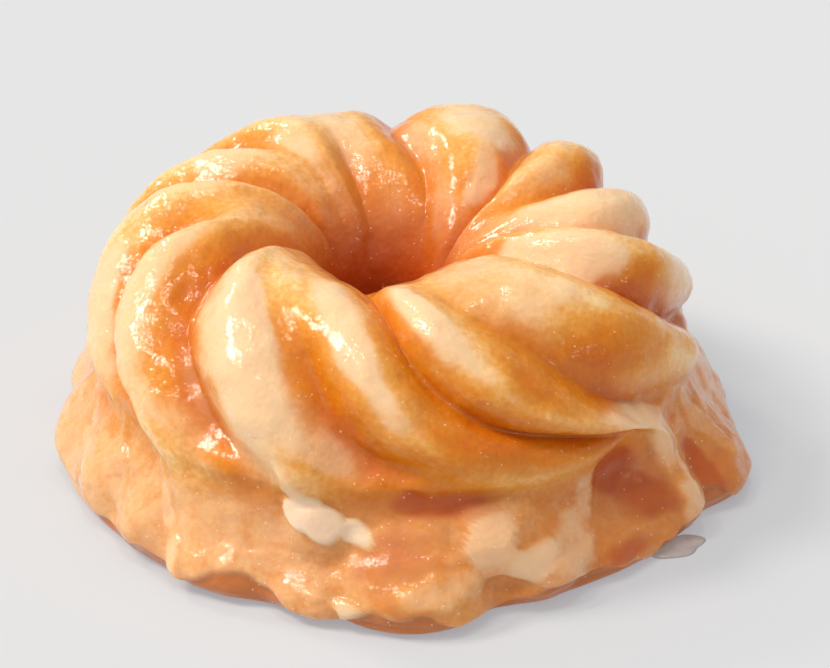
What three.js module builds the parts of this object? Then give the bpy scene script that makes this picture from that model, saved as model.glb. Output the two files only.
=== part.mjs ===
import * as THREE from 'three';

// A glazed cruller: choux paste piped round a small hole in thirteen spiral ridges, baked on
// a lumpy foot. Millimetres, +Z up, resting on z = 0, +Y away from its front.

// Section of the ring through the middle of its ridges, as [distance from the axis, height].
// It starts at the foot of the hole, climbs the hole's wall, goes over the top and down the
// outside, spreads into the foot and comes back along the flat underside.
const SECTION = [
  [9.5, 1.5], [7, 7], [5.8, 13.5], [6.6, 20.5], [10.3, 26.8], [16, 31],
  [22.5, 32.6],
  [29, 31.2], [34.3, 27.3], [37.4, 22.4], [38.5, 17.6],
  [38.3, 13.3],
  [39.4, 9.2], [41.4, 5.2], [42.4, 1.8],
  [40.4, 0], [32, 0], [20, 0], [12.5, 0],
];
// Places along the section, counted in its points.
const HOLE_FOOT = 0;
const TOP = 6;
const WAIST = 11;
const FOOT_EDGE = 14;
const UNDERSIDE = 15.5;

// Azimuths of the crease before each ridge, counterclockwise from above, at these places.
const CREASE_PLACES = [3.5, 6, 7.5, 9, 10.7, 13.5];
const CREASES = [
  [190, 209, 217, 231, 242, 252],
  [222, 237, 250.5, 260, 273, 284],
  [256, 266, 273, 288, 318, 322],
  [284, 282, 298, 311.5, 327.5, 338],
  [328, 325, 333, 346, 362, 366],
  [352, 348, 359, 375, 392, 398],
  [362, 376, 386, 402, 416, 424],
  [372, 406, 412, 425, 440, 448],
  [411, 449, 452, 458, 467, 474],
  [461, 473.5, 480, 490, 503, 511],
  [482, 494, 502, 514, 529, 539],
  [500, 519, 523, 532, 548, 560],
  [525, 545, 551, 561, 578, 591],
];

// One row a ridge: place of its crest between its creases, height, fullness of its back,
// softness of its flank before and after the crest, depth of the crease before it, the places
// where that crease starts, is fully open and stops, extra reach, and where the ridge ends.
const RIDGE_COLUMNS = ['crest', 'height', 'full', 'softBefore', 'softAfter', 'depth',
  'start', 'open', 'stop', 'reach', 'end'];
const NEVER = 99;
const RIDGES = [
  [0.50, 1.7, 1.8, 0.8, 0.4, 2.6, 2.3, 4.3, NEVER, 0.3, 11.3],
  [0.45, 1.4, 2.2, 0.3, 0.1, 2.0, 6.0, 8.0, NEVER, 0.0, 11.5],
  [0.45, 1.4, 2.2, 0.1, 0.5, 1.7, 3.9, 6.2, 10.6, 0.0, 11.2],
  [0.58, 2.0, 2.0, 0.3, 0.1, 2.0, 4.5, 9.2, NEVER, -1.6, 10.9],
  [0.55, 1.3, 2.4, 0.2, 0.2, 3.1, 2.9, 4.9, NEVER, -2.1, 12.5],
  [0.50, 0.9, 2.2, 0.2, 0.2, 2.6, 3.6, 5.6, NEVER, -3.8, 12.5],
  [0.50, 1.9, 2.2, 0.2, 0.2, 2.4, 4.3, 6.3, NEVER, -3.4, 12.5],
  [0.50, 2.1, 2.5, 0.4, 0.3, 2.2, 1.9, 3.9, NEVER, -1.3, 12.5],
  [0.45, 1.1, 2.2, 0.2, 0.6, 1.6, 2.6, 5.4, NEVER, 0.0, 12.5],
  [0.42, 2.2, 2.0, 0.6, 0.2, 0.8, 3.0, 4.8, 5.3, -0.4, 12.5],
  [0.40, 1.7, 2.0, 0.2, 0.5, 1.7, 5.1, 7.1, NEVER, -0.8, 12.0],
  [0.36, 2.0, 2.0, 0.2, 0.5, 2.1, 2.7, 4.7, NEVER, -1.5, 11.3],
  [0.34, 1.3, 2.0, 0.2, 0.6, 2.2, 5.2, 7.2, NEVER, 0.5, 17.0],
];
// Share of a ridge's height that is left between it and its neighbour where no crease is open.
const CLOSED = 0.85;
// Length of a ridge's rounded end, in places, and how far under the section it drops there.
const TIP_LENGTH = 1.4;
const TIP_DROP = 3;
// Height gained by the ring for each millimetre towards the back.
const LEAN = 0.03;
// The hole's wall stands to one side of the ring's axis.
const HOLE_SHIFT = -1.9;
// The rim of the hole dips at the front: azimuth, half-width in degrees and depth.
const RIM_DIP = { azimuth: 263, halfWidth: 22, depth: 1.8 };

// Lobes of the foot: [azimuth, place, bulge, half-width, half-height, degrees its long side
// leans from upright]. Each is a rounded cap, and the proudest one shows.
const LOBES = [
  [189, 12.6, 2.3, 7.0, 8.0, 0], [208, 12.5, 2.3, 6.4, 7.5, -15],
  [223, 12.9, 2.1, 5.0, 6.8, -24], [239, 13.7, 2.3, 9.0, 6.0, 0],
  [256, 11.9, 2.1, 5.6, 3.8, 25], [257, 13.8, 2.6, 7.0, 5.0, 0],
  [272, 13.7, 5.2, 7.5, 8.0, 10], [288, 12.2, 3.0, 8.0, 5.5, 20],
  [294, 13.6, 2.4, 5.0, 6.0, 25], [308, 13.6, 1.2, 6.0, 6.0, 0],
  [324, 12.3, 2.8, 4.0, 11.0, -12], [342, 13.5, 4.2, 7.0, 8.0, 0],
  [353, 13.3, 1.6, 5.0, 5.0, 0], [8, 13.0, 0.2, 8.0, 6.0, 0],
  [30, 12.8, 1.2, 8.0, 7.0, 0], [52, 12.5, 2.3, 8.0, 7.0, 0],
  [76, 12.5, 2.5, 9.0, 7.0, 0], [100, 12.5, 2.2, 8.0, 7.0, 0],
  [122, 12.5, 2.5, 8.0, 7.0, 0], [146, 12.5, 2.2, 8.0, 7.0, 0],
  [168, 12.5, 2.4, 8.0, 7.0, 0],
];
// Hollows of the foot, as the lobes, with their depth for a bulge.
const HOLLOWS = [[312, 11.8, 2.6, 5.5, 4.2, 0], [216, 13.6, 0.4, 2.5, 5.0, 0]];
// Millimetres for a place on the foot, and the foot's mean radius.
const PLACE_LENGTH = 4.3;
const FOOT_RADIUS = 41;
// How far a lobe falls from its top to its edge, and how softly lobes and ridges merge.
const LOBE_FALL = 3;
const BLEND = 0.5;
// What a lobe or the bare foot sinks by above the waist, so that only ridges show there.
const FOOT_SINK = 8;
const BARE_FOOT = 0.5;

// From the ring's axis to the middle of the whole outline.
const AXIS_TO_MIDDLE = [0.64, -2.32];

// Mesh density: columns across each ridge, and rows along each stretch of the section.
const COLUMNS_PER_RIDGE = 10;
const ROWS = [
  [HOLE_FOOT, 3, 4], [3, 10, 22], [10, 12, 6], [12, UNDERSIDE, 11], [UNDERSIDE, SECTION.length, 3],
];

const fade = (from, to, value) => THREE.MathUtils.smoothstep(value, from, to);

// Smooth closed curve through evenly spaced values, turn being what one lap adds to them.
function around(values, place, turn = 0) {
  const count = values.length;
  const step = Math.floor(place);
  const at = (k) => values[((k % count) + count) % count] + turn * Math.floor(k / count);
  const [a, b, c, d] = [at(step - 1), at(step), at(step + 1), at(step + 2)];
  const t = place - step;
  const slope = c - a + t * (2 * a - 5 * b + 4 * c - d + t * (3 * (b - c) + d - a));
  return b + 0.5 * t * slope;
}

// The section's radius and height at a place, and its outward normal there.
const sectionRadii = SECTION.map(([radius]) => radius);
const sectionHeights = SECTION.map(([, height]) => height);
function sectionAt(place) {
  const pointAt = (s) => new THREE.Vector2(around(sectionRadii, s), around(sectionHeights, s));
  const nudge = 0.01;
  const along = pointAt(place + nudge).sub(pointAt(place - nudge)).normalize();
  return { point: pointAt(place), normal: new THREE.Vector2(-along.y, along.x) };
}

// Each ridge property as a smooth function of the place round the ring, counted in ridges;
// what belongs to a crest is read half a ridge on from the crease before it.
const columnOf = Object.fromEntries(
  RIDGE_COLUMNS.map((name, k) => [name, RIDGES.map((row) => row[k])]),
);
const atCrease = (name, lap) => around(columnOf[name], lap);
const atCrest = (name, lap) => around(columnOf[name], lap - 0.5);

// How far the surface stands out from the section: crests up, creases down.
function relief(lap, place) {
  const share = lap - Math.floor(lap);
  const ridge = Math.floor(lap) % RIDGES.length;
  const nearestCrease = Math.round(lap) % RIDGES.length;
  const crest = atCrest('crest', lap);
  const offCrest = share < crest ? 1 - share / crest : (share - crest) / (1 - crest);
  const softness = columnOf[share < crest ? 'softBefore' : 'softAfter'][ridge];
  const back = (1 - offCrest ** atCrest('full', lap)) ** (1 + softness);
  const height = atCrest('height', lap);
  const stop = columnOf.stop[nearestCrease];
  const opened = fade(atCrease('start', lap), atCrease('open', lap), place)
    * (1 - fade(stop - 0.6, stop + 0.8, place));
  const floor = THREE.MathUtils.lerp(CLOSED * height, -atCrease('depth', lap), opened);
  return THREE.MathUtils.lerp(floor, height, back);
}

// A ridge's relief with its rounded end, dropping under the section past it.
function ridgeStand(lap, place) {
  const past = THREE.MathUtils.clamp((place - atCrest('end', lap)) / TIP_LENGTH + 1, 0, 1);
  const left = Math.sqrt(1 - past * past);
  return relief(lap, place) * left - TIP_DROP * (1 - left);
}

// Azimuth of a column of the mesh at a place along the section, in degrees: a smooth curve
// through what the creases have at CREASE_PLACES, straight before them and level after.
function azimuthAt(lap, place) {
  const knots = CREASE_PLACES.map((_, k) => around(CREASES.map((crease) => crease[k]), lap, 360));
  const last = knots.length - 1;
  const slope = (k) => {
    const [before, after] = [Math.max(k - 1, 0), Math.min(k + 1, last)];
    return (knots[after] - knots[before]) / (CREASE_PLACES[after] - CREASE_PLACES[before]);
  };
  if (place <= CREASE_PLACES[0]) return knots[0] + slope(0) * (place - CREASE_PLACES[0]);
  if (place >= CREASE_PLACES[last]) {
    return knots[last] + 0.5 * slope(last) * Math.min(place - CREASE_PLACES[last], 1);
  }
  const k = CREASE_PLACES.findLastIndex((knot) => knot <= place);
  const span = CREASE_PLACES[k + 1] - CREASE_PLACES[k];
  const t = (place - CREASE_PLACES[k]) / span;
  return ((2 * t - 3) * t * t + 1) * knots[k] + ((t - 2) * t + 1) * t * slope(k) * span
    + (3 - 2 * t) * t * t * knots[k + 1] + (t - 1) * t * t * slope(k + 1) * span;
}

// Squared distance from a spot on the foot, 1 at its edge.
function spotDistance(degrees, place, [azimuth, level, , halfWidth, halfHeight, lean]) {
  const aside = THREE.MathUtils.euclideanModulo(degrees - azimuth + 180, 360) - 180;
  const offset = new THREE.Vector2(
    THREE.MathUtils.degToRad(aside) * FOOT_RADIUS,
    (level - place) * PLACE_LENGTH,
  ).rotateAround(new THREE.Vector2(), THREE.MathUtils.degToRad(lean));
  return (offset.x / halfWidth) ** 2 + (offset.y / halfHeight) ** 2;
}

// Soft maximum: the proudest value, rounded over where two come close.
function merged(values) {
  const top = Math.max(...values);
  return top + BLEND * Math.log(values.reduce((sum, value) => sum + Math.exp((value - top) / BLEND), 0));
}

// How far the skin stands out from the section, ridges, foot and rim together.
function standAt(lap, place, degrees) {
  const ridged = fade(HOLE_FOOT + 1.5, TOP + 1, place)
    * (1 - fade(FOOT_EDGE, FOOT_EDGE + 1.2, place));
  const low = fade(WAIST - 2.5, WAIST - 0.5, place) * (1 - fade(FOOT_EDGE + 0.8, UNDERSIDE, place));
  const sunk = FOOT_SINK * (1 - low);
  const caps = LOBES.map((lobe) => {
    const cap = lobe[2] - LOBE_FALL * spotDistance(degrees, place, lobe);
    return cap * low - sunk;
  });
  const dents = HOLLOWS.reduce((sum, hollow) => (
    sum + low * hollow[2] * Math.exp(-spotDistance(degrees, place, hollow))
  ), 0);
  const aside = THREE.MathUtils.euclideanModulo(degrees - RIM_DIP.azimuth + 180, 360) - 180;
  const dip = RIM_DIP.depth * Math.exp(-((aside / RIM_DIP.halfWidth) ** 2))
    * fade(2.5, 4.5, place) * (1 - fade(5, 7.5, place));
  const skin = merged([ridgeStand(lap, place) * ridged, BARE_FOOT - sunk, ...caps]);
  return skin * (1 - fade(FOOT_EDGE + 0.6, UNDERSIDE - 0.1, place)) - dents - dip;
}

function surfacePoint(lap, place) {
  const { point, normal } = sectionAt(place);
  const degrees = azimuthAt(lap, place);
  const angle = THREE.MathUtils.degToRad(degrees);
  const stand = standAt(lap, place, degrees);
  const sideways = fade(WAIST - 1, WAIST + 1, place);
  const reach = atCrest('reach', lap) * fade(TOP, 10.5, place) * (1 - fade(10.4, 12, place));
  const radius = point.x + THREE.MathUtils.lerp(normal.x, 1, sideways) * stand + reach;
  const leaning = fade(HOLE_FOOT, 4, place) * (1 - fade(8.5, 11.5, place));
  const height = point.y + normal.y * (1 - sideways) * stand + LEAN * leaning * radius * Math.sin(angle);
  const holeSide = HOLE_SHIFT * (1 - fade(3.5, 7, place)) * fade(HOLE_FOOT, 3, place);
  return new THREE.Vector3(
    radius * Math.cos(angle) + holeSide,
    radius * Math.sin(angle),
    Math.max(height, 0),
  );
}

// The whole skin as one closed grid: columns round the ring, rows round the section.
function crullerGeometry() {
  const rows = ROWS.flatMap(([from, to, count]) => (
    Array.from({ length: count }, (_, k) => from + (to - from) * k / count)
  ));
  const columns = RIDGES.length * COLUMNS_PER_RIDGE;
  const points = [];
  for (let column = 0; column < columns; column += 1) {
    for (const place of rows) points.push(surfacePoint(column / COLUMNS_PER_RIDGE, place));
  }
  const index = [];
  for (let column = 0; column < columns; column += 1) {
    for (let row = 0; row < rows.length; row += 1) {
      const here = column * rows.length;
      const next = ((column + 1) % columns) * rows.length;
      const above = (row + 1) % rows.length;
      index.push(here + row, here + above, next + row, next + row, here + above, next + above);
    }
  }
  const geometry = new THREE.BufferGeometry().setFromPoints(points);
  geometry.setIndex(index);
  geometry.translate(-AXIS_TO_MIDDLE[0], -AXIS_TO_MIDDLE[1], 0);
  geometry.computeVertexNormals();
  return geometry;
}

const glazedCrust = new THREE.MeshStandardMaterial({ color: 0xe9a560, roughness: 0.25, metalness: 0 });
const cruller = new THREE.Mesh(crullerGeometry(), glazedCrust);
cruller.name = 'cruller';

const part = new THREE.Group();
part.add(cruller);
export default part;
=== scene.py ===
"""A glazed cruller: thirteen spiral ridges of browned choux paste round a small hole, on a lumpy
foot, under a film of sugar glaze that has run down and set. The shape functions work in
millimetres, as on a baker's ruler; finished pieces are in metres."""

import math

import bpy
import numpy as np
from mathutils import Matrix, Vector


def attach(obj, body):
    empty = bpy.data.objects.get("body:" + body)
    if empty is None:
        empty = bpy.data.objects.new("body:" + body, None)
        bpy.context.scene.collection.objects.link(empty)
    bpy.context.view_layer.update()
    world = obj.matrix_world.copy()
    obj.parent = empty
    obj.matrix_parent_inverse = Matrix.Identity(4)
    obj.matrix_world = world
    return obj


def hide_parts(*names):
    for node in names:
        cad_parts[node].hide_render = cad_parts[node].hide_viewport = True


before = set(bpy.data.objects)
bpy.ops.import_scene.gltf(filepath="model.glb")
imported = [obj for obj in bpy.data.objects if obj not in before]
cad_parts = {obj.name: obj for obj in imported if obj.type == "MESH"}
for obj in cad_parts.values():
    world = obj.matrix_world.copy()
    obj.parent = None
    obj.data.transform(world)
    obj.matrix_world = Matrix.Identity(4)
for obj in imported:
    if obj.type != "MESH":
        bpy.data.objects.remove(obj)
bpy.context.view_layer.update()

MM = 0.001

# ---------------------------------------------------------------- the ring and its ridges

# Section of the ring through the middle of its ridges: distance from the axis and height in mm.
SECTION = np.array([
    (9.5, 1.5), (7, 7), (5.8, 13.5), (6.6, 20.5), (10.3, 26.8), (16, 31),
    (22.5, 32.6),
    (29, 31.2), (34.3, 27.3), (37.4, 22.4), (38.5, 17.6),
    (38.3, 13.3),
    (39.4, 9.2), (41.4, 5.2), (42.4, 1.8),
    (40.4, 0), (32, 0), (20, 0), (12.5, 0),
], float)
# Places along the section, counted in its points.
HOLE_FOOT, TOP, WAIST, FOOT_EDGE, UNDERSIDE = 0, 6, 11, 14, 15.5

# Azimuths of the crease before each ridge, counterclockwise from above, at these places.
CREASE_PLACES = (3.5, 6, 7.5, 9, 10.7, 13.5)
CREASES = np.array([
    (190, 209, 217, 231, 242, 252),
    (222, 237, 250.5, 260, 273, 284),
    (256, 266, 273, 288, 318, 322),
    (284, 282, 298, 311.5, 327.5, 338),
    (328, 325, 333, 346, 362, 366),
    (352, 348, 359, 375, 392, 398),
    (362, 376, 386, 402, 416, 424),
    (372, 406, 412, 425, 440, 448),
    (411, 449, 452, 458, 467, 474),
    (461, 473.5, 480, 490, 503, 511),
    (482, 494, 502, 514, 529, 539),
    (500, 519, 523, 532, 548, 560),
    (525, 545, 551, 561, 578, 591),
], float)

# One row a ridge: place of its crest between its creases, height, fullness of its back,
# softness of its flank before and after the crest, depth of the crease before it, the places
# where that crease starts, is fully open and stops, extra reach, and where the ridge ends.
NEVER = 99
RIDGES = np.array([
    (0.50, 1.7, 1.8, 0.8, 0.4, 2.6, 2.3, 4.3, NEVER, 0.3, 11.3),
    (0.45, 1.4, 2.2, 0.3, 0.1, 2.0, 6.0, 8.0, NEVER, 0.0, 11.5),
    (0.45, 1.4, 2.2, 0.1, 0.5, 1.7, 3.9, 6.2, 10.6, 0.0, 11.2),
    (0.58, 2.0, 2.0, 0.3, 0.1, 2.0, 4.5, 9.2, NEVER, -1.6, 10.9),
    (0.55, 1.3, 2.4, 0.2, 0.2, 3.1, 2.9, 4.9, NEVER, -2.1, 12.5),
    (0.50, 0.9, 2.2, 0.2, 0.2, 2.6, 3.6, 5.6, NEVER, -3.8, 12.5),
    (0.50, 1.9, 2.2, 0.2, 0.2, 2.4, 4.3, 6.3, NEVER, -3.4, 12.5),
    (0.50, 2.1, 2.5, 0.4, 0.3, 2.2, 1.9, 3.9, NEVER, -1.3, 12.5),
    (0.45, 1.1, 2.2, 0.2, 0.6, 1.6, 2.6, 5.4, NEVER, 0.0, 12.5),
    (0.42, 2.2, 2.0, 0.6, 0.2, 0.8, 3.0, 4.8, 5.3, -0.4, 12.5),
    (0.40, 1.7, 2.0, 0.2, 0.5, 1.7, 5.1, 7.1, NEVER, -0.8, 12.0),
    (0.36, 2.0, 2.0, 0.2, 0.5, 2.1, 2.7, 4.7, NEVER, -1.5, 11.3),
    (0.34, 1.3, 2.0, 0.2, 0.6, 2.2, 5.2, 7.2, NEVER, 0.5, 17.0),
], float)
(CREST, HEIGHT, FULL, SOFT_BEFORE, SOFT_AFTER, DEPTH, START, OPEN, STOP, REACH, END) = range(11)
# Share of a ridge's height that is left between it and its neighbour where no crease is open.
CLOSED = 0.85
# Length of a ridge's rounded end, in places, and how far under the section it drops there.
TIP_LENGTH, TIP_DROP = 1.4, 3.0
# Height gained by the ring for each millimetre towards the back.
LEAN = 0.03
# The hole's wall stands to one side of the ring's axis.
HOLE_SHIFT = -1.9
# The rim of the hole dips at the front: azimuth, half-width in degrees and depth.
DIP_AZIMUTH, DIP_WIDTH, DIP_DEPTH = 263, 22, 1.8

# Lobes of the foot: azimuth, place, bulge in mm, half-width and half-height in mm, and the
# angle its long side leans from upright. Each is a rounded cap, and the proudest one shows.
LOBES = [
    (189, 12.6, 2.3, 7.0, 8.0, 0), (208, 12.5, 2.3, 6.4, 7.5, -15),
    (223, 12.9, 2.1, 5.0, 6.8, -24), (239, 13.7, 2.3, 9.0, 6.0, 0),
    (256, 11.9, 2.1, 5.6, 3.8, 25), (257, 13.8, 2.6, 7.0, 5.0, 0),
    (272, 13.7, 5.2, 7.5, 8.0, 10), (288, 12.2, 3.0, 8.0, 5.5, 20),
    (294, 13.6, 2.4, 5.0, 6.0, 25), (308, 13.6, 1.2, 6.0, 6.0, 0),
    (324, 12.3, 2.8, 4.0, 11.0, -12), (342, 13.5, 4.2, 7.0, 8.0, 0),
    (353, 13.3, 1.6, 5.0, 5.0, 0), (8, 13.0, 0.2, 8.0, 6.0, 0),
    (30, 12.8, 1.2, 8.0, 7.0, 0), (52, 12.5, 2.3, 8.0, 7.0, 0),
    (76, 12.5, 2.5, 9.0, 7.0, 0), (100, 12.5, 2.2, 8.0, 7.0, 0),
    (122, 12.5, 2.5, 8.0, 7.0, 0), (146, 12.5, 2.2, 8.0, 7.0, 0),
    (168, 12.5, 2.4, 8.0, 7.0, 0),
]
# Hollows of the foot, as the lobes, with their depth for a bulge.
HOLLOWS = [(312, 11.8, 2.6, 5.5, 4.2, 0), (216, 13.6, 0.4, 2.5, 5.0, 0)]
# Millimetres for a place on the foot, and the foot's mean radius.
PLACE_LENGTH, FOOT_RADIUS = 4.3, 41
# How far a lobe falls from its top to its edge, and how softly lobes and ridges merge.
LOBE_FALL, BLEND = 3.0, 0.5
# What a lobe or the bare foot sinks by above the waist, so that only ridges show there.
FOOT_SINK, BARE_FOOT = 8.0, 0.5
# From the ring's axis to the middle of the whole outline.
AXIS_TO_MIDDLE = np.array([0.64, -2.32, 0])

# Places between which each part of the form comes in, and between which it goes out again.
RIDGES_IN, RIDGES_OUT = (HOLE_FOOT + 1.5, TOP + 1), (FOOT_EDGE, FOOT_EDGE + 1.2)
FOOT_IN, FOOT_OUT = (WAIST - 2.5, WAIST - 0.5), (FOOT_EDGE + 0.8, UNDERSIDE)
DIP_IN, DIP_OUT = (2.5, 4.5), (5, 7.5)
REACH_IN, REACH_OUT = (TOP, 10.5), (10.4, 12)
LEAN_IN, LEAN_OUT = (HOLE_FOOT, 4), (8.5, 11.5)
HOLE_SHIFT_IN, HOLE_SHIFT_OUT = (HOLE_FOOT, 3), (3.5, 7)
# Where all that stands out ends, and where it turns from square to the section to level.
STAND_OUT, SIDEWAYS_IN = (FOOT_EDGE + 0.6, UNDERSIDE - 0.1), (WAIST - 1, WAIST + 1)
# Places before and after its stop in which a crease closes.
CLOSING = (-0.6, 0.8)
# Step in laps or places over which a slope is measured, and what keeps a length from being 0.
NUDGE, TINY = 0.01, 1e-12


def fade(start, end, value):
    """0 before start, 1 after end, smooth between."""
    share = np.clip((value - start) / (end - start), 0, 1)
    return share * share * (3 - 2 * share)


def between(rise, fall, place):
    """1 from the end of rise to the start of fall, 0 before and after them, smooth between."""
    return fade(*rise, place) * (1 - fade(*fall, place))


def mix(first, second, share):
    return first + (second - first) * share


def apart(azimuth, at):
    """Degrees from one azimuth to another, the shorter way round."""
    return (azimuth - at + 180) % 360 - 180


def around(values, place, turn=0):
    """Smooth closed curve through evenly spaced values, turn being what one lap adds."""
    values = np.asarray(values, float)
    step = np.floor(place).astype(int)
    share = place - step

    def at(k):
        return values[k % len(values)] + turn * (k // len(values))

    a, b, c, d = at(step - 1), at(step), at(step + 1), at(step + 2)
    slope = c - a + share * (2 * a - 5 * b + 4 * c - d + share * (3 * (b - c) + d - a))
    return b + 0.5 * share * slope


def at_crease(kind, lap):
    return around(RIDGES[:, kind], lap)


def at_crest(kind, lap):
    return around(RIDGES[:, kind], lap - 0.5)


def ridge_relief(lap, place):
    """Relief over the section in mm, and 0 in a crease to 1 on a crest."""
    share = lap - np.floor(lap)
    ridge = np.floor(lap).astype(int) % len(RIDGES)
    nearest_crease = np.round(lap).astype(int) % len(RIDGES)
    crest = at_crest(CREST, lap)
    before = share < crest
    off_crest = np.where(before, 1 - share / crest, (share - crest) / (1 - crest))
    softness = np.where(before, RIDGES[ridge, SOFT_BEFORE], RIDGES[ridge, SOFT_AFTER])
    back = (1 - off_crest ** at_crest(FULL, lap)) ** (1 + softness)
    height = at_crest(HEIGHT, lap)
    stop = RIDGES[nearest_crease, STOP]
    opened = fade(at_crease(START, lap), at_crease(OPEN, lap), place)
    opened = opened * (1 - fade(stop + CLOSING[0], stop + CLOSING[1], place))
    floor = mix(CLOSED * height, -at_crease(DEPTH, lap), opened)
    return mix(floor, height, back), 1 - off_crest * opened


def azimuth_at(lap, place):
    """Azimuth in degrees of a column of the mesh at a place along the section: a smooth curve
    through what the creases have at CREASE_PLACES, straight before them and level after."""
    knots = [around(CREASES[:, k], lap, 360) for k in range(len(CREASE_PLACES))]
    last = len(knots) - 1

    def slope(k):
        before, after = max(k - 1, 0), min(k + 1, last)
        return (knots[after] - knots[before]) / (CREASE_PLACES[after] - CREASE_PLACES[before])

    azimuth = knots[0] + slope(0) * (place - CREASE_PLACES[0])
    for k in range(last):
        span = CREASE_PLACES[k + 1] - CREASE_PLACES[k]
        t = (place - CREASE_PLACES[k]) / span
        curve = ((2 * t - 3) * t * t + 1) * knots[k] + ((t - 2) * t + 1) * t * slope(k) * span \
            + (3 - 2 * t) * t * t * knots[k + 1] + (t - 1) * t * t * slope(k + 1) * span
        azimuth = np.where(place > CREASE_PLACES[k], curve, azimuth)
    level = knots[last] + 0.5 * slope(last) * np.minimum(place - CREASE_PLACES[last], 1)
    return np.where(place > CREASE_PLACES[last], level, azimuth)


def spot_distance(azimuth, place, at, level, half_width, half_height, lean):
    """Squared distance from a spot on the foot, 1 at its edge."""
    aside = np.radians(apart(azimuth, at)) * FOOT_RADIUS
    up = (level - place) * PLACE_LENGTH
    turn = math.radians(lean)
    across = aside * math.cos(turn) - up * math.sin(turn)
    along = aside * math.sin(turn) + up * math.cos(turn)
    return (across / half_width) ** 2 + (along / half_height) ** 2


def merged(layers):
    """Soft maximum: the proudest layer, rounded over where two come close."""
    layers = np.array(layers)
    top = layers.max(0)
    return top + BLEND * np.log(np.exp((layers - top) / BLEND).sum(0))


def stand_at(lap, place, azimuth):
    """How far the skin stands out from the section, ridges, foot and rim together."""
    relief, crested = ridge_relief(lap, place)
    past = np.clip((place - at_crest(END, lap)) / TIP_LENGTH + 1, 0, 1)
    left = np.sqrt(1 - past * past)
    low = between(FOOT_IN, FOOT_OUT, place)
    sunk = FOOT_SINK * (1 - low)
    ridge = (relief * left - TIP_DROP * (1 - left)) * between(RIDGES_IN, RIDGES_OUT, place)
    layers = [ridge, BARE_FOOT - sunk]
    for at, level, bulge, *size in LOBES:
        layers.append((bulge - LOBE_FALL * spot_distance(azimuth, place, at, level, *size)) * low - sunk)
    stand = merged(layers) * (1 - fade(*STAND_OUT, place))
    for at, level, depth, *size in HOLLOWS:
        stand = stand - low * depth * np.exp(-spot_distance(azimuth, place, at, level, *size))
    dip = np.exp(-(apart(azimuth, DIP_AZIMUTH) / DIP_WIDTH) ** 2) * between(DIP_IN, DIP_OUT, place)
    return stand - DIP_DEPTH * dip, crested * left


def skin(lap, place):
    """Points in mm of the cruller's skin, its azimuth, share of a crest and stand."""
    radius, height = around(SECTION[:, 0], place), around(SECTION[:, 1], place)
    along_r = around(SECTION[:, 0], place + NUDGE) - around(SECTION[:, 0], place - NUDGE)
    along_z = around(SECTION[:, 1], place + NUDGE) - around(SECTION[:, 1], place - NUDGE)
    length = np.hypot(along_r, along_z)
    azimuth = azimuth_at(lap, place)
    angle = np.radians(azimuth)
    stand, crested = stand_at(lap, place, azimuth)
    sideways = fade(*SIDEWAYS_IN, place)
    reach = at_crest(REACH, lap) * between(REACH_IN, REACH_OUT, place)
    radius = radius + mix(-along_z / length, 1, sideways) * stand + reach
    lean = LEAN * between(LEAN_IN, LEAN_OUT, place) * radius * np.sin(angle)
    height = height + along_r / length * (1 - sideways) * stand + lean
    hole_side = HOLE_SHIFT * between(HOLE_SHIFT_IN, HOLE_SHIFT_OUT, place)
    points = np.stack([radius * np.cos(angle) + hole_side, radius * np.sin(angle),
                       np.maximum(height, 0)], -1)
    return points, azimuth, crested, stand


# ---------------------------------------------------------------- baked skin and glaze

# Unevenness of the baked skin, as height in mm, size of a hump in mm, and seed: broad dents,
# puckers where the paste tore as it rose, and crags on the foot, which are squat and, towards
# FOOT_FILM_AT, mostly filled with glaze.
DENTS, PUCKERS, CRAGS = (0.45, 11.0, 3), (0.20, 4.0, 11), (0.35, 6.0, 29)
SQUAT, CRAGS_FILLED = (1, 1, 1.3), 0.7
# How much lower each finer layer of a crinkle is than the one it rides on.
FINER = 1.8
# Places where the unevenness comes in at the hole, and where it ends underneath.
SKIN_IN, SKIN_OUT = (1.5, 5.0), (14.2, 15)
# Height above the floor at which the skin is free to be uneven.
FREE_HEIGHT = 1.6
# The glaze stops short of the surface the cruller stands on: mean height of its lip, how that
# wanders (as the unevenness above), how the lip rounds off, and the film's thickness there.
LIP_HEIGHT, LIP_WANDER = 2.2, ((1.8, 9.0, 41), (1.08, 3.0, 43))
LIP_ROUND, GLAZE_THICK = (-0.35, 0.35), 0.55
# How far the browned patches, bare crust and painted shade alike, lie under the glaze round them.
BROWNED_AND_SHADED_DEPTH = 0.2

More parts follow.
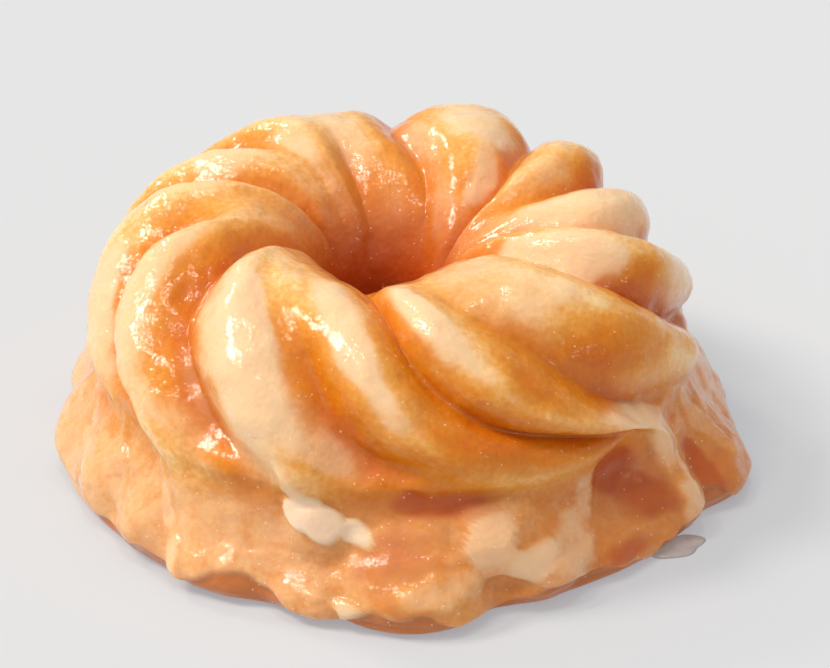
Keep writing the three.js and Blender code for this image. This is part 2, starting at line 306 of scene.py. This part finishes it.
# Pools where glaze has run together and set milky: azimuth, place, thickness in mm, half-width
# and half-height in mm, lean, and how milky it is.
POOLS = [
    (253.5, 11.2, 0.7, 2.4, 2.1, -20, 2.0), (258, 11.55, 0.8, 2.8, 1.7, 25, 2.0),
    (262.5, 11.75, 0.6, 2.3, 1.4, 10, 1.8), (252, 10.5, 0.4, 1.4, 3.2, -30, 1.2),
    (252, 13.1, 0.2, 7.5, 2.6, 0, 0.55), (264.5, 13.7, 0.6, 4.2, 1.7, 20, 1.2),
    (276, 13.0, 0.3, 3.6, 2.0, 0, 0.6), (285, 12.2, 0.4, 3.0, 4.6, 30, 0.8),
    (291, 12.6, 0.4, 3.6, 2.6, 0, 0.95), (287, 11.4, 0.2, 5.0, 2.0, 0, 0.5),
    (299, 12.9, 0.35, 3.6, 5.6, 35, 0.7), (304, 11.7, 0.3, 2.2, 4.4, 30, 0.6),
    (324.5, 11.6, 0.35, 2.8, 8.0, -15, 0.75), (325.5, 13.2, 0.3, 2.4, 4.0, 10, 0.7),
    (338, 11.6, 0.3, 1.5, 5.0, -20, 0.5),
    (193, 12.0, 0.3, 3.5, 8.0, 0, 0.6), (199, 13.0, 0.3, 3.0, 4.0, -20, 0.6),
    (214.5, 12.2, 0.35, 1.2, 6.5, -30, 0.7), (230, 12.6, 0.4, 1.3, 8.0, -30, 0.8),
]
# Veils of pale glaze along the ridges, partly painted highlight where the lamps catch them: ridge and share
# of it across, place, half-width in ridges, half-length in places, and strength. The strength is below 0
# where the crust shows through, which is partly painted shade on shaded flanks.
VEILS_AND_PAINTED_LIGHT = [
    (0.42, 7.4, 0.34, 1.8, 0.85), (0.63, 8.0, 0.22, 1.4, 0.8), (0.77, 9.2, 0.20, 1.0, 0.6),
    (0.30, 9.6, 0.25, 1.2, 0.6), (1.45, 6.9, 0.26, 1.3, 1.0), (1.45, 8.4, 0.14, 1.0, 0.5),
    (1.55, 9.6, 0.30, 0.7, -0.6), (2.58, 8.0, 0.16, 0.9, -0.4), (2.40, 5.9, 0.30, 0.7, 0.6),
    (2.42, 7.0, 0.26, 1.1, 1.0), (2.77, 10.1, 0.38, 0.8, 1.0), (3.35, 6.4, 0.34, 1.4, 0.6),
    (3.40, 8.2, 0.24, 0.9, -0.8), (3.30, 9.3, 0.30, 0.6, 0.4), (4.18, 6.1, 0.32, 1.1, 1.4),
    (4.50, 8.6, 0.45, 0.8, 0.8), (4.22, 7.5, 0.16, 0.3, -0.5), (5.35, 6.3, 0.50, 1.9, 0.9),
    (6.30, 5.8, 0.25, 0.6, 0.5), (6.20, 6.8, 0.18, 0.5, -0.5), (7.35, 6.2, 0.30, 0.6, 0.9),
    (7.22, 5.2, 0.16, 0.9, 0.8), (7.84, 5.6, 0.18, 0.8, 0.6), (7.68, 4.2, 0.18, 0.6, 0.5),
    (7.50, 5.1, 0.20, 0.5, -0.4), (8.80, 5.6, 0.35, 0.9, 0.7), (9.75, 5.7, 0.30, 0.7, 0.8),
    (10.50, 6.4, 0.30, 0.9, 0.7), (11.65, 8.0, 0.14, 1.0, 0.4), (11.62, 9.2, 0.22, 1.2, 0.9),
    (12.44, 7.9, 0.20, 1.8, 0.8), (12.95, 8.9, 0.08, 0.8, 0.4), (12.72, 9.9, 0.20, 0.8, 0.5),
]
# Darker, deeper orange patches. Some are where the crust is browned and rough with hardly any glaze. Others
# are painted shade in the recess at the right, under the foot's edge and under the ridge ends at the front.
# Columns: azimuth, place, half-width and half-height in mm, lean, and how strong the patch is.
BROWNED_AND_SHADED = [
    (312, 11.4, 4.8, 3.2, 0, 0.95), (318, 12.5, 4.4, 3.0, 20, 0.75), (310, 13.6, 6.0, 2.2, 0, 0.75),
    (270, 12.7, 6.0, 5.0, 20, 0.55), (279, 10.9, 6.5, 2.2, 0, 0.85), (333, 12.9, 1.6, 5.0, 0, 0.8),
    (342, 13.2, 8.0, 6.0, 0, 0.5), (232, 14.0, 8.0, 2.6, 0, 0.4),
]
# Squared distances from the middle of a spot between which it ends: a pool's bulge, a colour
# on the foot, and a veil.
BULGE_RIM, COLOUR_RIM, VEIL_RIM = (0.7, 1.1), (0.2, 1.7), (0.1, 1.6)
# How ragged those rims are, how much more so the milky colour's is, and the lumps in a pool.
POOL_RAGGED, VEIL_RAGGED = ((0.6, 5.0, 51), (0.35, 1.8, 53)), ((0.3, 6.0, 71), (0.2, 2.2, 73))
MILKY_RAGGED, POOL_LUMPS = 1.3, (0.5, 2.4, 57)

# A faint film lies on the crests between the veils: its strength, the share of a crest where it
# starts and where it is full, its streaks, and the places where it comes in.
CREST_FILM, CREST_FILM_IN, FILM_IN = 0.18, (0.55, 1.1), (4, 6.5)
FILM_STREAKS = ((0.35, 5.0, 61), (0.2, 2.0, 67))
# Milkiness of the glaze that has run over the foot, the azimuth where it is most, how it comes
# in with the cosine from there, and what it is all round.
FOOT_FILM, FOOT_FILM_AT, FOOT_FILM_IN, THIN_FILM = 0.25, 205, (0.1, 0.9), 0.35
# Along the ridges the glaze has run in streaks. Their pattern is drawn on a drum with the ridges
# side by side: its radius in mm, and the millimetres on it that one place along a ridge takes.
ACROSS_LENGTH, ALONG_LENGTH = 26.0, 1.8

# The crust's colour runs from 0, deep orange in the folds, to 1, pale gold on the crests. It is partly the
# crust's own colour under thinner or thicker glaze, and partly painted shade that darkens the folds. It
# goes by how far the skin stands out, in mm from DEEPEST over STAND_RANGE, by the share of a crest, and
# down where the strength of a veil is below 0.
DEEPEST, STAND_RANGE = -3.0, 5.0
BY_STAND, BY_CREST, BY_VEIL_SHADE = 0.6, 0.4, 0.5
# On the foot it goes by the stand alone, so its low parts are darker with painted shade: its level, and
# what a millimetre adds.
FOOT_TONE, FOOT_TONE_BY_STAND = 0.42, 0.06
# Painted shade on the side away from the key lamp, where the crust is deeper orange: how much deeper, its
# azimuth, how that comes in with the cosine from there, and the places along the section where it comes in.
SIDE_SHADE, SIDE_SHADE_AT, SIDE_SHADE_TURN, SIDE_SHADE_IN = 0.16, 322, (-0.2, 0.9), (6.5, 9)

# A pool is at most this milky, where a thin film is at most 1.
MOST_MILKY = 2
# Places where the foot comes in, and where the painted shade of the hole and the painted shade on its inner
# wall end.
FOOT_COLOUR_IN, HOLE_OUT, INNER_OUT = (WAIST - 0.6, WAIST + 0.8), (2.7, 5.2), (4.0, 6.4)

# Mesh density: columns across each ridge, and rows along each stretch of the section.
COLUMNS_PER_RIDGE = 44
ROWS = [(HOLE_FOOT, 3, 8), (3, 10, 84), (10, WAIST + 1, 26), (WAIST + 1, 15, 44),
        (15, len(SECTION), 4)]


def lattice(corner, seed):
    """A repeatable number from -1 to 1 for each whole-numbered corner of a grid. The large odd
    numbers only stir the bits, so that neighbours have nothing in common."""
    k = (corner[..., 0] * 374761393 + corner[..., 1] * 668265263 + corner[..., 2] * 2147483647
         + seed * 974711) & 0xffffffff
    k = ((k ^ (k >> 13)) * 1274126177) & 0xffffffff
    return ((k ^ (k >> 16)) & 0xffff) / 32767.5 - 1


def wobble(points, size, seed):
    """Smooth unevenness from about -1 to 1, size mm from hump to hump."""
    scaled = points / size
    low = np.floor(scaled).astype(np.int64)
    share = scaled - low
    share = share ** 3 * (share * (share * 6 - 15) + 10)
    total = 0
    for i in (0, 1):
        for j in (0, 1):
            for k in (0, 1):
                corner = np.array((i, j, k))
                weight = np.prod(np.where(corner == 1, share, 1 - share), axis=-1)
                total = total + weight * lattice(low + corner, seed)
    return total


def uneven(points, *layers):
    """Unevenness in layers, each with its height, size of a hump and seed."""
    return sum(height * wobble(points, size, seed) for height, size, seed in layers)


def crinkled(points, height, size, seed, layers=3):
    """Unevenness whose humps carry smaller ones, each layer half the size of the last."""
    return uneven(points, *((height / FINER ** k, size / 2 ** k, seed + k) for k in range(layers)))


def glaze_on(points, azimuth, place):
    """Thickness of the glaze's pools in mm, how milky it is, and how browned the bare crust is, which in
    places is painted shade.
    """
    ragged, lumps = uneven(points, *POOL_RAGGED), 1 + uneven(points, POOL_LUMPS)
    thickness, milky, browned_and_shaded = 0, 0, 0
    for at, level, thick, half_width, half_height, lean, whiteness in POOLS:
        distance = spot_distance(azimuth, place, at, level, half_width, half_height, lean)
        thickness = np.maximum(thickness, thick * (1 - fade(*BULGE_RIM, distance + ragged)) * lumps)
        cover = 1 - fade(*COLOUR_RIM, distance + MILKY_RAGGED * ragged)
        milky = np.maximum(milky, whiteness * cover)
    for at, level, half_width, half_height, lean, bareness in BROWNED_AND_SHADED:
        distance = spot_distance(azimuth, place, at, level, half_width, half_height, lean)
        browned_and_shaded = np.maximum(browned_and_shaded, bareness * (1 - fade(*COLOUR_RIM, distance + ragged)))
    return thickness, milky, browned_and_shaded * (1 - np.minimum(milky, 1))


def veils_and_painted_light(lap, place, points):
    """How pale the glaze makes the ridges, partly painted highlight, and below 0 where the crust shows
    through, partly painted shade.
    """
    ragged = uneven(points, *VEIL_RAGGED)
    half_lap = len(RIDGES) / 2
    cover = 0
    for at, level, half_width, half_length, strength in VEILS_AND_PAINTED_LIGHT:
        aside = (lap - at + half_lap) % len(RIDGES) - half_lap
        distance = (aside / half_width) ** 2 + ((place - level) / half_length) ** 2
        cover = cover + strength * (1 - fade(*VEIL_RIM, distance + ragged))
    return cover


def closed_grid_faces(columns, rows):
    """Four-cornered faces of a grid that closes on itself both ways."""
    index = np.arange(columns * rows).reshape(columns, rows)
    side, up = np.roll(index, -1, 0), np.roll(index, -1, 1)
    return np.stack([index, up, np.roll(side, -1, 1), side], -1).reshape(-1, 4)


def crust_relief(points, place, foot, filled, thickness, browned_and_shaded):
    """How far the crust and its glaze stand out from the skin in mm, and where the foot is bare."""
    rough = uneven(points, DENTS) + crinkled(points, *PUCKERS)
    rough += (foot - CRAGS_FILLED * filled) * crinkled(points * SQUAT, *CRAGS)
    height = points[..., 2]
    lip = LIP_HEIGHT + uneven(points * (1, 1, 0), *LIP_WANDER)
    bare = (1 - fade(*LIP_ROUND, height - lip)) * (place > WAIST)
    relief = rough * fade(*SKIN_IN, place) + thickness * (1 - bare) - GLAZE_THICK * bare
    free = fade(0, FREE_HEIGHT, height) * (1 - fade(*SKIN_OUT, place))
    return (relief - BROWNED_AND_SHADED_DEPTH * browned_and_shaded) * free, bare


def film_and_baked_shade(points, lap, place, azimuth, crested, stand, foot, filled):
    """How milky the thin glaze is, and the crust's colour under it from a fold to a crest. Painted shade
    makes it deeper orange in the folds, where a veil is below 0, and on the side away from the key lamp.
    """
    streaks = crested + uneven(points, *FILM_STREAKS)
    veil_and_painted_light = veils_and_painted_light(lap, place, points)
    film = CREST_FILM * fade(*CREST_FILM_IN, streaks) * fade(*FILM_IN, place) + veil_and_painted_light
    film = np.minimum(np.maximum(film * (1 - foot), FOOT_FILM * filled + THIN_FILM * foot), 1)
    # Partly painted shade: the crust is deeper orange where the skin sinks into a fold.
    baked = BY_STAND * np.clip((stand - DEEPEST) / STAND_RANGE, 0, 1) + BY_CREST * crested
    # Partly painted shade: the crust is deeper orange where a veil's strength is below 0.
    baked = baked + BY_VEIL_SHADE * np.minimum(veil_and_painted_light, 0)
    baked = mix(baked, np.clip(FOOT_TONE + FOOT_TONE_BY_STAND * stand, 0, 1), foot)
    # Painted shade: the crust is deeper orange on the side that the key lamp does not reach.
    side = fade(*SIDE_SHADE_TURN, np.cos(np.radians(azimuth - SIDE_SHADE_AT)))
    return film, baked - SIDE_SHADE * side * fade(*SIDE_SHADE_IN, place)


def ridge_ways(lap, place):
    """Each point's spot on the drum on which the ridges lie side by side."""
    turn = 2 * math.pi * lap / len(RIDGES)
    along = ALONG_LENGTH * place + (PLACE_LENGTH - ALONG_LENGTH) * np.maximum(place - WAIST, 0)
    return np.stack([ACROSS_LENGTH * np.cos(turn), ACROSS_LENGTH * np.sin(turn), along], -1)


def store(mesh, name, values, kind="FLOAT", part="value"):
    """Keeps a number or a vector for each point of the mesh, which its material reads."""
    attribute = mesh.attributes.new(name, kind, "POINT")
    attribute.data.foreach_set(part, values.astype(np.float32).ravel())


def cruller_mesh():
    """The cruller's skin, puckered and glazed, with the fields that its material reads."""
    rows = np.concatenate([start + (end - start) * np.arange(count) / count
                           for start, end, count in ROWS])
    columns = len(RIDGES) * COLUMNS_PER_RIDGE
    lap, place = np.meshgrid(np.arange(columns) / COLUMNS_PER_RIDGE, rows, indexing="ij")
    points, azimuth, crested, stand = skin(lap, place)
    along = skin(lap, place + NUDGE)[0] - points
    across = skin(lap + NUDGE, place)[0] - points
    outward = np.cross(along, across)
    outward /= np.linalg.norm(outward, axis=-1, keepdims=True) + TINY

    foot = fade(*FOOT_COLOUR_IN, place)
    filled = foot * fade(*FOOT_FILM_IN, np.cos(np.radians(azimuth - FOOT_FILM_AT)))
    thickness, milky, browned_and_shaded = glaze_on(points, azimuth, place)
    relief, bare = crust_relief(points, place, foot, filled, thickness, browned_and_shaded)
    points = points + outward * relief[..., None]
    points[..., 2] = np.maximum(points[..., 2], 0)
    points = points - AXIS_TO_MIDDLE

    mesh = bpy.data.meshes.new("cruller_skin")
    mesh.from_pydata((points.reshape(-1, 3) * MM).tolist(), [], closed_grid_faces(*lap.shape).tolist())
    mesh.shade_smooth()
    film, baked = film_and_baked_shade(points, lap, place, azimuth, crested, stand, foot, filled)
    store(mesh, "baked", baked)
    store(mesh, "milky", np.clip(np.maximum(film, milky), 0, MOST_MILKY))
    store(mesh, "browned_and_shaded", browned_and_shaded)
    store(mesh, "foot", foot)
    store(mesh, "bare", bare)
    store(mesh, "in_hole", 1 - fade(*HOLE_OUT, place))
    store(mesh, "inner", 1 - fade(*INNER_OUT, place))
    store(mesh, "ridge_way", ridge_ways(lap, place), "FLOAT_VECTOR", "vector")
    return mesh


# ---------------------------------------------------------------- materials

def linear(code):
    """Linear colour of an sRGB hex value."""
    channels = [int(code[k:k + 2], 16) / 255 for k in (1, 3, 5)]
    return [c / 12.92 if c <= 0.04045 else ((c + 0.055) / 1.055) ** 2.4 for c in channels] + [1]


def feed(tree, made, inputs):
    """Gives each input named or numbered a value, or a link from another node."""
    for key, value in inputs.items():
        if isinstance(value, bpy.types.NodeSocket):
            tree.links.new(value, made.inputs[key])
        else:
            made.inputs[key].default_value = value


def node(tree, kind, settings, inputs, output=0):
    """Adds a node with its settings and inputs, and gives back the output asked for."""
    made = tree.nodes.new("ShaderNode" + kind)
    for name, value in settings.items():
        setattr(made, name, value)
    feed(tree, made, inputs)
    return made.outputs[output]


def weighted_sum(tree, terms, start=0.0):
    """Start, and each value times its weight."""
    total = start
    for weight, value in terms:
        total = node(tree, "Math", {"operation": "MULTIPLY_ADD"}, {0: value, 1: weight, 2: total})
    return total


def product(tree, *factors):
    """Each factor times the next."""
    total = factors[0]
    for factor in factors[1:]:
        total = node(tree, "Math", {"operation": "MULTIPLY"}, {0: total, 1: factor})
    return total


def painted(tree, colour, layers):
    """The colour with other colours laid over it one by one, each by its share."""
    for share, code in layers:
        colour = node(tree, "Mix", {"data_type": "RGBA"}, {0: share, 6: colour, 7: linear(code)}, 2)
    return colour


# Colours of the crust from the depth of a crease to a crest, the creases darkest with painted shade, and of
# what lies on it.
CRUST_STOPS = (
    (0.0, "#D0680A"), (0.4, "#DE841A"), (0.68, "#E99F40"), (0.86, "#F3B86A"), (1.0, "#FACE96"),
)
# Painted shade on the hole's inner wall: a deeper orange laid over the crust.
PAINTED_INNER_SHADE, INNER_SHADE_SHARE = "#E68420", 0.5
MILKY_GLAZE = "#F7D0A4"
# Deep red-orange of the browned patches: browned crust where bare, and painted shade in the recess, under
# the foot's edge and under the ridge ends.
BROWNED_AND_SHADED_CRUST = "#C04C0C"
BAKED_FOOT = "#C87840"
# Painted shade in the hole: dark red-brown laid over the crust towards its bottom.
PAINTED_HOLE_SHADE, HOLE_SHADE_SHARE = "#B2360A", 0.9
THICK_GLAZE = "#FEDEC6"
# Pale specks: bubbles and sugar grains, partly painted glints.
GRAIN_AND_GLINT_PALE, GRAIN_AND_GLINT_SHARE = "#FFE9CC", 0.45
# Set glaze on its own, and the size of its clouds in mm.
CLOUDY_GLAZE, CLEAR_GLAZE, CLOUD_SIZE = "#CDB4A6", "#EDE2DA", 1.5

# Patterns in the crust and the glaze: size from hump to hump in mm, finer layers and twist.
PATTERNS = {
    "blotch": (9.0, 2.0, 0.0), "patch": (3.2, 3.0, 0.0), "grain": (0.7, 2.0, 0.0),
    "cloud": (5.0, 4.0, 1.2),
    "swell": (3.2, 1.0, 0.0), "ripple": (1.3, 1.0, 0.0), "fine_ripple": (0.42, 1.0, 0.0),
}
# Streaks of glaze along the ridges: width in mm, finer layers and twist.
STREAKS = (2.2, 3.0, 0.6)
# How much each pattern changes the baking and the glaze's edges, and how high each stands in mm.
# The crust is puckered; the glaze over it has run level, but for fine ripples.
BAKING_MIX = {"blotch": 0.5, "patch": 0.3, "grain": 0.45, "streak": 0.3}
EDGE_MIX = {"cloud": 0.55, "streak": 0.45, "grain": 0.3}
CRUST_RELIEF = {"patch": 0.35, "grain": 0.10}
GLAZE_RELIEF = {"swell": 0.30, "ripple": 0.06, "fine_ripple": 0.05}
# Smooth steps from one value to another.
SMOOTH = {"interpolation_type": "SMOOTHSTEP"}
BROWNED_AND_SHADED_STEP = {"From Min": 0.1, "From Max": 0.95, "To Max": 0.85}
MILKY_STEP = {"From Min": 0.22, "From Max": 0.78, "To Min": 0.35, "To Max": 0.95}
THICK_STEP = {"From Min": 0.95, "From Max": 1.5, "To Max": 0.6}
ROUGHNESS_STEP = {"From Min": 0.35, "From Max": 0.65, "To Min": 0.3, "To Max": 0.45}
# How ragged the edge of a browned patch, partly painted shade, is beside a milky one's, and how much of the
# milk it takes away.
BROWNED_AND_SHADED_RAGGED, BROWNED_AND_SHADED_CLEARS = 0.8, 0.9
# Bubbles and grains in the glaze, some of them painted glints, are about 0.8 mm apart. One shows where
# chance and patch together are over the step's start, and is then up to about 0.13 mm in radius.
GRAIN_SPACING, GRAIN_REACH = 0.8, 0.16
GRAIN_STEP = {"From Min": 0.12, "From Max": 0.5}
# A soft moist crust that lets light in a little way, red the deepest, under a hard wet coat.
CRUST_FINISH = {
    "Specular IOR Level": 0.08,
    "Subsurface Weight": 0.55, "Subsurface Radius": (1.0, 0.42, 0.14), "Subsurface Scale": 1.3 * MM,
    "Coat Weight": 0.9, "Coat Roughness": 0.06, "Coat IOR": 1.42,
    "Sheen Weight": 0.15, "Sheen Roughness": 0.2, "Sheen Tint": linear("#FFD09A"),
}


def new_material(name):
    """A material with its tree and its shader."""
    material = bpy.data.materials.new(name)
    material.use_nodes = True
    return material, material.node_tree, material.node_tree.nodes["Principled BSDF"]


def crust_patterns(tree, where):
    """Fields that the mesh carries, and patterns from 0 to 1 about a half, each by its name."""
    fields = {name: node(tree, "Attribute", {"attribute_name": name}, {}, "Fac")
              for name in ("baked", "milky", "browned_and_shaded", "foot", "bare", "in_hole", "inner")}
    patterns = {name: node(tree, "TexNoise", {}, {
        "Vector": where, "Scale": 1 / (size * MM), "Detail": detail, "Distortion": twist})
        for name, (size, detail, twist) in PATTERNS.items()}
    width, detail, twist = STREAKS
    way = node(tree, "Attribute", {"attribute_name": "ridge_way"}, {}, "Vector")
    streaks = node(tree, "TexNoise", {}, {
        "Vector": way, "Scale": 1 / width, "Detail": detail, "Distortion": twist})
    patterns["streak"] = node(tree, "Mix", {"data_type": "FLOAT"}, {
        0: fields["foot"], 2: streaks, 3: patterns["cloud"]})
    return fields, patterns


def glazed_choux():
    """Browned choux crust under sugar glaze: golden on the crests and deep orange in the folds, where light
    soaks through the thin moist paste and painted shade darkens them; painted shade too in the hole and on
    the side away from the key lamp; milky where the glaze lies thick and in streaks along the ridges, some
    of it painted highlight; browned patches, some of them painted shade; a wet shine broken up by fine
    ripples; pale bubbles and grains, some of them painted glints."""
    material, tree, shader = new_material("glazed_choux_crust")
    where = node(tree, "TexCoord", {}, {}, "Object")
    fields, patterns = crust_patterns(tree, where)

    def blend(weights, start=0.0, much=1.0):
        terms = [(weight * much, patterns[name]) for name, weight in weights.items()]
        return weighted_sum(tree, terms, start)

    def unsettled(value, weights, much=1.0):
        """The value with patterns added, less the half that each comes to on the whole."""
        return weighted_sum(tree, [(1, value)], blend(weights, -much * sum(weights.values()) / 2, much))

    crust = node(tree, "ValToRGB", {}, {"Fac": unsettled(fields["baked"], BAKING_MIX)})
    ramp = crust.node.color_ramp
    for element, (position, code) in zip(ramp.elements, (CRUST_STOPS[0], CRUST_STOPS[-1])):
        element.position, element.color = position, linear(code)
    for position, code in CRUST_STOPS[1:-1]:
        ramp.elements.new(position).color = linear(code)

    browned_and_shaded = node(tree, "MapRange", SMOOTH, {
        "Value": unsettled(fields["browned_and_shaded"], EDGE_MIX, BROWNED_AND_SHADED_RAGGED), **BROWNED_AND_SHADED_STEP})
    edged = node(tree, "MapRange", SMOOTH, {
        "Value": unsettled(fields["milky"], EDGE_MIX), **MILKY_STEP})
    clear = weighted_sum(tree, [(-BROWNED_AND_SHADED_CLEARS, browned_and_shaded)], 1.0)
    milk = product(tree, fields["milky"], edged, clear)
    thick = node(tree, "MapRange", SMOOTH, {"Value": milk, **THICK_STEP})

    cells = node(tree, "TexVoronoi", {}, {"Vector": where, "Scale": 1 / (GRAIN_SPACING * MM)}).node
    chance = node(tree, "SeparateColor", {}, {0: cells.outputs["Color"]})
    shown = node(tree, "MapRange", SMOOTH, {
        "Value": product(tree, chance, patterns["patch"]), **GRAIN_STEP})
    grains_and_glints = node(tree, "Math", {"operation": "LESS_THAN"}, {
        0: cells.outputs["Distance"], 1: product(tree, shown, GRAIN_REACH)})

    colour = painted(tree, crust, [
        (product(tree, fields["inner"], INNER_SHADE_SHARE), PAINTED_INNER_SHADE),
        (browned_and_shaded, BROWNED_AND_SHADED_CRUST),
        (milk, MILKY_GLAZE),
        (thick, THICK_GLAZE),
        (fields["bare"], BAKED_FOOT),
        (product(tree, fields["in_hole"], HOLE_SHADE_SHARE), PAINTED_HOLE_SHADE),
        (product(tree, grains_and_glints, GRAIN_AND_GLINT_SHARE), GRAIN_AND_GLINT_PALE),
    ])
    bumps = {socket: node(tree, "Bump", {}, {"Height": blend(relief), "Strength": 1.0, "Distance": MM})
             for socket, relief in (("Normal", CRUST_RELIEF), ("Coat Normal", GLAZE_RELIEF))}
    roughness = node(tree, "MapRange", SMOOTH, {"Value": patterns["patch"], **ROUGHNESS_STEP})
    feed(tree, shader, {"Base Color": colour, "Roughness": roughness, **bumps, **CRUST_FINISH})
    return material


def set_glaze():
    """Sugar glaze that has dripped and set on its own: thin, cloudy and wet-looking."""
    material, tree, shader = new_material("set_sugar_glaze")
    where = node(tree, "TexCoord", {}, {}, "Object")
    clouds = node(tree, "TexNoise", {}, {"Vector": where, "Scale": 1 / (CLOUD_SIZE * MM)})
    colour = painted(tree, linear(CLOUDY_GLAZE), [(clouds, CLEAR_GLAZE)])
    feed(tree, shader, {
        "Base Color": colour, "Roughness": 0.12, "IOR": 1.45, "Transmission Weight": 0.55})
    return material


# ---------------------------------------------------------------- pieces

# The smear of glaze on the surface beside the foot: its middle from the ring's axis, its two
# half-lengths and its thickness in mm, and the direction of its long side.
SMEAR_MIDDLE, SMEAR_SIZE, SMEAR_THICK, SMEAR_TURN = (33.6, -27.2), (3.6, 2.3), 0.4, 25
SMEAR_RINGS, SMEAR_SPOKES = 8, 48
# How its outline wanders: share of its size, bulges in all, and where they start.
SMEAR_WAVES = ((0.12, 2, 1), (0.08, 3, 0), (0.05, 5, 2))


def smear_mesh():
    """A puddle with a rounded edge and a wandering outline, flat underneath."""
    spokes = np.arange(SMEAR_SPOKES) * 2 * math.pi / SMEAR_SPOKES
    outline = 1 + sum(share * np.sin(count * spokes + start) for share, count, start in SMEAR_WAVES)
    shares = np.arange(1, SMEAR_RINGS + 1) / SMEAR_RINGS
    turn = math.radians(SMEAR_TURN)
    points = [(0, 0, SMEAR_THICK)]
    for share in shares:
        top = SMEAR_THICK * math.sqrt(max(1 - share ** 4, 0))
        points += [(share * r * math.cos(s), share * r * math.sin(s), top) for s, r in zip(spokes, outline)]
    points.append((0, 0, 0))
    points = np.array(points) * (*SMEAR_SIZE, 1)
    turned = np.stack([points[:, 0] * math.cos(turn) - points[:, 1] * math.sin(turn),
                       points[:, 0] * math.sin(turn) + points[:, 1] * math.cos(turn), points[:, 2]], -1)
    turned = turned + (*SMEAR_MIDDLE, 0) - AXIS_TO_MIDDLE
    faces = []
    for s in range(SMEAR_SPOKES):
        t = (s + 1) % SMEAR_SPOKES
        faces.append((0, 1 + s, 1 + t))
        for ring in range(SMEAR_RINGS - 1):
            inner, outer = 1 + ring * SMEAR_SPOKES, 1 + (ring + 1) * SMEAR_SPOKES
            faces.append((inner + s, outer + s, outer + t, inner + t))
        rim = 1 + (SMEAR_RINGS - 1) * SMEAR_SPOKES
        faces.append((len(points) - 1, rim + t, rim + s))
    mesh = bpy.data.meshes.new("smear")
    mesh.from_pydata((turned * MM).tolist(), [], faces)
    mesh.shade_smooth()
    return mesh


def add_piece(name, mesh, material):
    piece = bpy.data.objects.new(name, mesh)
    bpy.context.scene.collection.objects.link(piece)
    mesh.materials.append(material)
    return piece


cruller = add_piece("glazed_cruller", cruller_mesh(), glazed_choux())
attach(cruller, "root")
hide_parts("cruller")

smear = add_piece("glaze_smear", smear_mesh(), set_glaze())
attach(smear, "root")

# ---------------------------------------------------------------- floor, light and camera

# Half the side of the floor in metres.
FLOOR_HALF = 3.0
# The lit floor's brightness, the share of light that it throws back, and the light around.
FLOOR_LIT, FLOOR_PALE, FILL = 0.791, 0.39, 0.45
# Broad lights, all of one warm white: azimuth, elevation, strength and spread in degrees.
LIGHT_COLOUR = linear("#FFF8EE")[:3]
LIGHTS = {
    "key": (178, 47, 1.6, 16),
    "key_high": (203, 60, 0.5, 11),
    "over_front": (250, 66, 0.4, 60),
    "overhead": (250, 85, 0.3, 9),
    "back_left": (136, 38, 0.65, 9),
    "front_right": (312, 16, 0.07, 5),
}


def lit_floor():
    """A pale matt sheet with light of its own, as a lit table has, so that shadows stay soft."""
    material, _, shader = new_material("pale_lit_sheet")
    lamps = sum(strength * math.sin(math.radians(elevation)) / math.pi
                for _, elevation, strength, _ in LIGHTS.values())
    glow = FLOOR_LIT - FLOOR_PALE * (FILL + lamps * np.array(LIGHT_COLOUR))
    feed(material.node_tree, shader, {
        "Base Color": (FLOOR_PALE, FLOOR_PALE, FLOOR_PALE, 1), "Roughness": 0.9,
        "Specular IOR Level": 0, "Emission Color": (*(glow / glow.max()), 1),
        "Emission Strength": glow.max()})
    return material


floor_mesh = bpy.data.meshes.new("floor")
floor_mesh.from_pydata([(x * FLOOR_HALF, y * FLOOR_HALF, 0) for x, y in
                        ((-1, -1), (1, -1), (1, 1), (-1, 1))], [], [(0, 1, 2, 3)])
floor = add_piece("floor", floor_mesh, lit_floor())

world = bpy.data.worlds.new("studio")
bpy.context.scene.world = world
world.use_nodes = True
world.node_tree.nodes["Background"].inputs["Color"].default_value = (1, 1, 1, 1)
world.node_tree.nodes["Background"].inputs["Strength"].default_value = FILL

for name, (azimuth, elevation, strength, spread) in LIGHTS.items():
    light = bpy.data.lights.new(name, "SUN")
    light.energy = strength
    light.angle = math.radians(spread)
    light.color = LIGHT_COLOUR
    lamp = bpy.data.objects.new(name, light)
    turn, rise = math.radians(azimuth), math.radians(elevation)
    towards = Vector((math.cos(turn) * math.cos(rise), math.sin(turn) * math.cos(rise), math.sin(rise)))
    lamp.rotation_euler = towards.to_track_quat("Z", "Y").to_euler()
    bpy.context.scene.collection.objects.link(lamp)

# The picture is 830 x 668 pixels, and the ring's axis meets the floor at FOOT_PIXEL. The camera
# is so many degrees above the floor and metres away, and its sensor so many mm wide.
PICTURE, FOOT_PIXEL, PIXELS_PER_MM = (830, 668), (398, 434), 7.7
CAMERA_ELEVATION, CAMERA_DISTANCE, SENSOR = 30.5, 0.350, 36


def add_camera(aim):
    """A camera that sees aim at FOOT_PIXEL, from in front and above."""
    focal_pixels = PIXELS_PER_MM * CAMERA_DISTANCE / MM
    data = bpy.data.cameras.new("camera")
    data.sensor_width = SENSOR
    data.lens = SENSOR * focal_pixels / PICTURE[0]
    camera = bpy.data.objects.new("camera", data)
    rise = math.radians(CAMERA_ELEVATION)
    camera.location = aim + Vector((0, -math.cos(rise), math.sin(rise))) * CAMERA_DISTANCE
    pitch = rise - math.atan((FOOT_PIXEL[1] - PICTURE[1] / 2) / focal_pixels)
    yaw = math.atan((FOOT_PIXEL[0] - PICTURE[0] / 2) / focal_pixels / math.cos(pitch))
    camera.rotation_euler = (math.pi / 2 - pitch, 0, yaw)
    bpy.context.scene.collection.objects.link(camera)
    bpy.context.scene.camera = camera


add_camera(Vector(-AXIS_TO_MIDDLE) * MM)
bpy.context.scene.view_settings.view_transform = "Standard"
